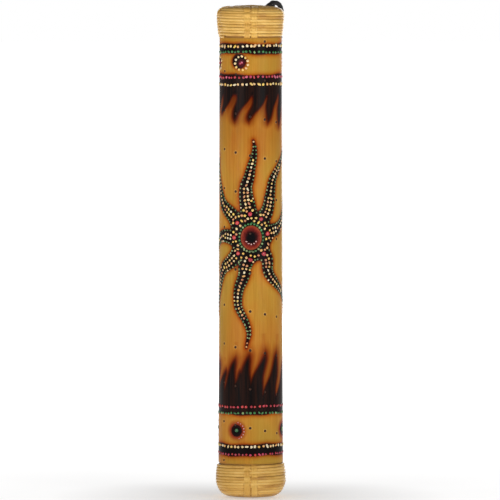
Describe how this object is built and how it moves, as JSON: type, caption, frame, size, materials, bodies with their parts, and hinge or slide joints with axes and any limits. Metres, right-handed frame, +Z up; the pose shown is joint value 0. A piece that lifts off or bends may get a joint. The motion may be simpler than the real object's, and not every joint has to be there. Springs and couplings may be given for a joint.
{
  "type": "rainstick",
  "caption": "Bamboo rainstick with rattan-bound ends, a hanging cord, a helix of inner pegs and loose pebbles that trickle down when it is turned over.",
  "frame": {"origin": "centre of the flat underside of the bottom rattan cap, which the stick stands on", "axes": "+Z up the stick towards the end with the hanging cord, -Y towards the painted front, +X to its right"},
  "size_m": [0.058, 0.0581, 0.4076],
  "materials": {
    "painted_bamboo": "varnished, burnt and painted in dots",
    "rattan": "varnished rattan strand",
    "rattan_tie": "varnished split rattan",
    "plug_wood": "raw sawn wood",
    "peg_wood": "dark palm sliver, cut flush",
    "pebble_stone": "matt",
    "seed": "smooth",
    "black_cord": "round braided cord"
  },
  "bodies": {
    "stick": {"bamboo_tube": "painted_bamboo", "bottom_plug": "plug_wood", "top_plug": "plug_wood", "top_rattan_cap": "rattan", "bottom_rattan_cap": "rattan", "cord_knot_1": "black_cord", "cord_knot_2": "black_cord", "hanging_cord": "black_cord", "peg_turn_01": "peg_wood", "peg_turn_02": "peg_wood", "peg_turn_03": "peg_wood", "peg_turn_04": "peg_wood", "peg_turn_05": "peg_wood", "peg_turn_06": "peg_wood", "peg_turn_07": "peg_wood", "peg_turn_08": "peg_wood", "peg_turn_09": "peg_wood", "peg_turn_10": "peg_wood", "peg_turn_11": "peg_wood", "top_rattan_tie_1": "rattan_tie", "top_rattan_tie_2": "rattan_tie", "top_rattan_tie_3": "rattan_tie", "top_rattan_tie_4": "rattan_tie", "top_rattan_tie_5": "rattan_tie", "top_rattan_tie_6": "rattan_tie", "bottom_rattan_tie_1": "rattan_tie", "bottom_rattan_tie_2": "rattan_tie", "bottom_rattan_tie_3": "rattan_tie", "bottom_rattan_tie_4": "rattan_tie", "bottom_rattan_tie_5": "rattan_tie", "bottom_rattan_tie_6": "rattan_tie"},
    "loose_pebble_01": {"pebble_01": "pebble_stone"},
    "loose_pebble_02": {"pebble_02": "pebble_stone"},
    "loose_pebble_03": {"pebble_03": "pebble_stone"},
    "loose_pebble_04": {"pebble_04": "pebble_stone"},
    "loose_pebble_05": {"pebble_05": "pebble_stone"},
    "loose_pebble_06": {"pebble_06": "pebble_stone"},
    "loose_pebble_07": {"pebble_07": "pebble_stone"},
    "loose_pebble_08": {"pebble_08": "pebble_stone"},
    "loose_pebble_09": {"pebble_09": "pebble_stone"},
    "loose_pebble_10": {"pebble_10": "pebble_stone"},
    "loose_pebble_11": {"pebble_11": "pebble_stone"},
    "loose_pebble_12": {"pebble_12": "pebble_stone"},
    "loose_pebble_13": {"pebble_13": "pebble_stone"},
    "loose_seed_01": {"seed_01": "seed"},
    "loose_seed_02": {"seed_02": "seed"},
    "loose_seed_03": {"seed_03": "seed"},
    "loose_seed_04": {"seed_04": "seed"},
    "loose_seed_05": {"seed_05": "seed"},
    "loose_seed_06": {"seed_06": "seed"},
    "loose_seed_07": {"seed_07": "seed"},
    "loose_seed_08": {"seed_08": "seed"},
    "loose_seed_09": {"seed_09": "seed"},
    "loose_seed_10": {"seed_10": "seed"},
    "loose_seed_11": {"seed_11": "seed"},
    "loose_seed_12": {"seed_12": "seed"},
    "loose_seed_13": {"seed_13": "seed"}
  },
  "joints": [
    {"name": "pebble_slide_01", "type": "slide", "parent": "stick", "child": "loose_pebble_01", "axis": [0, 0, 1], "range_m": [0, 0.3628]},
    {"name": "pebble_slide_02", "type": "slide", "parent": "stick", "child": "loose_pebble_02", "axis": [0, 0, 1], "range_m": [0, 0.3628]},
    {"name": "pebble_slide_03", "type": "slide", "parent": "stick", "child": "loose_pebble_03", "axis": [0, 0, 1], "range_m": [0, 0.3628]},
    {"name": "pebble_slide_04", "type": "slide", "parent": "stick", "child": "loose_pebble_04", "axis": [0, 0, 1], "range_m": [0, 0.3628]},
    {"name": "pebble_slide_05", "type": "slide", "parent": "stick", "child": "loose_pebble_05", "axis": [0, 0, 1], "range_m": [0, 0.3628]},
    {"name": "pebble_slide_06", "type": "slide", "parent": "stick", "child": "loose_pebble_06", "axis": [0, 0, 1], "range_m": [0, 0.3628]},
    {"name": "pebble_slide_07", "type": "slide", "parent": "stick", "child": "loose_pebble_07", "axis": [0, 0, 1], "range_m": [0, 0.3628]},
    {"name": "pebble_slide_08", "type": "slide", "parent": "stick", "child": "loose_pebble_08", "axis": [0, 0, 1], "range_m": [0, 0.3628]},
    {"name": "pebble_slide_09", "type": "slide", "parent": "stick", "child": "loose_pebble_09", "axis": [0, 0, 1], "range_m": [0, 0.3628]},
    {"name": "pebble_slide_10", "type": "slide", "parent": "stick", "child": "loose_pebble_10", "axis": [0, 0, 1], "range_m": [0, 0.3628]},
    {"name": "pebble_slide_11", "type": "slide", "parent": "stick", "child": "loose_pebble_11", "axis": [0, 0, 1], "range_m": [0, 0.3628]},
    {"name": "pebble_slide_12", "type": "slide", "parent": "stick", "child": "loose_pebble_12", "axis": [0, 0, 1], "range_m": [0, 0.3628]},
    {"name": "pebble_slide_13", "type": "slide", "parent": "stick", "child": "loose_pebble_13", "axis": [0, 0, 1], "range_m": [0, 0.3628]},
    {"name": "seed_slide_01", "type": "slide", "parent": "stick", "child": "loose_seed_01", "axis": [0, 0, 1], "range_m": [0, 0.3658]},
    {"name": "seed_slide_02", "type": "slide", "parent": "stick", "child": "loose_seed_02", "axis": [0, 0, 1], "range_m": [0, 0.3658]},
    {"name": "seed_slide_03", "type": "slide", "parent": "stick", "child": "loose_seed_03", "axis": [0, 0, 1], "range_m": [0, 0.3658]},
    {"name": "seed_slide_04", "type": "slide", "parent": "stick", "child": "loose_seed_04", "axis": [0, 0, 1], "range_m": [0, 0.3658]},
    {"name": "seed_slide_05", "type": "slide", "parent": "stick", "child": "loose_seed_05", "axis": [0, 0, 1], "range_m": [0, 0.3658]},
    {"name": "seed_slide_06", "type": "slide", "parent": "stick", "child": "loose_seed_06", "axis": [0, 0, 1], "range_m": [0, 0.3658]},
    {"name": "seed_slide_07", "type": "slide", "parent": "stick", "child": "loose_seed_07", "axis": [0, 0, 1], "range_m": [0, 0.3658]},
    {"name": "seed_slide_08", "type": "slide", "parent": "stick", "child": "loose_seed_08", "axis": [0, 0, 1], "range_m": [0, 0.3658]},
    {"name": "seed_slide_09", "type": "slide", "parent": "stick", "child": "loose_seed_09", "axis": [0, 0, 1], "range_m": [0, 0.3658]},
    {"name": "seed_slide_10", "type": "slide", "parent": "stick", "child": "loose_seed_10", "axis": [0, 0, 1], "range_m": [0, 0.3658]},
    {"name": "seed_slide_11", "type": "slide", "parent": "stick", "child": "loose_seed_11", "axis": [0, 0, 1], "range_m": [0, 0.3658]},
    {"name": "seed_slide_12", "type": "slide", "parent": "stick", "child": "loose_seed_12", "axis": [0, 0, 1], "range_m": [0, 0.3658]},
    {"name": "seed_slide_13", "type": "slide", "parent": "stick", "child": "loose_seed_13", "axis": [0, 0, 1], "range_m": [0, 0.3658]}
  ]
}
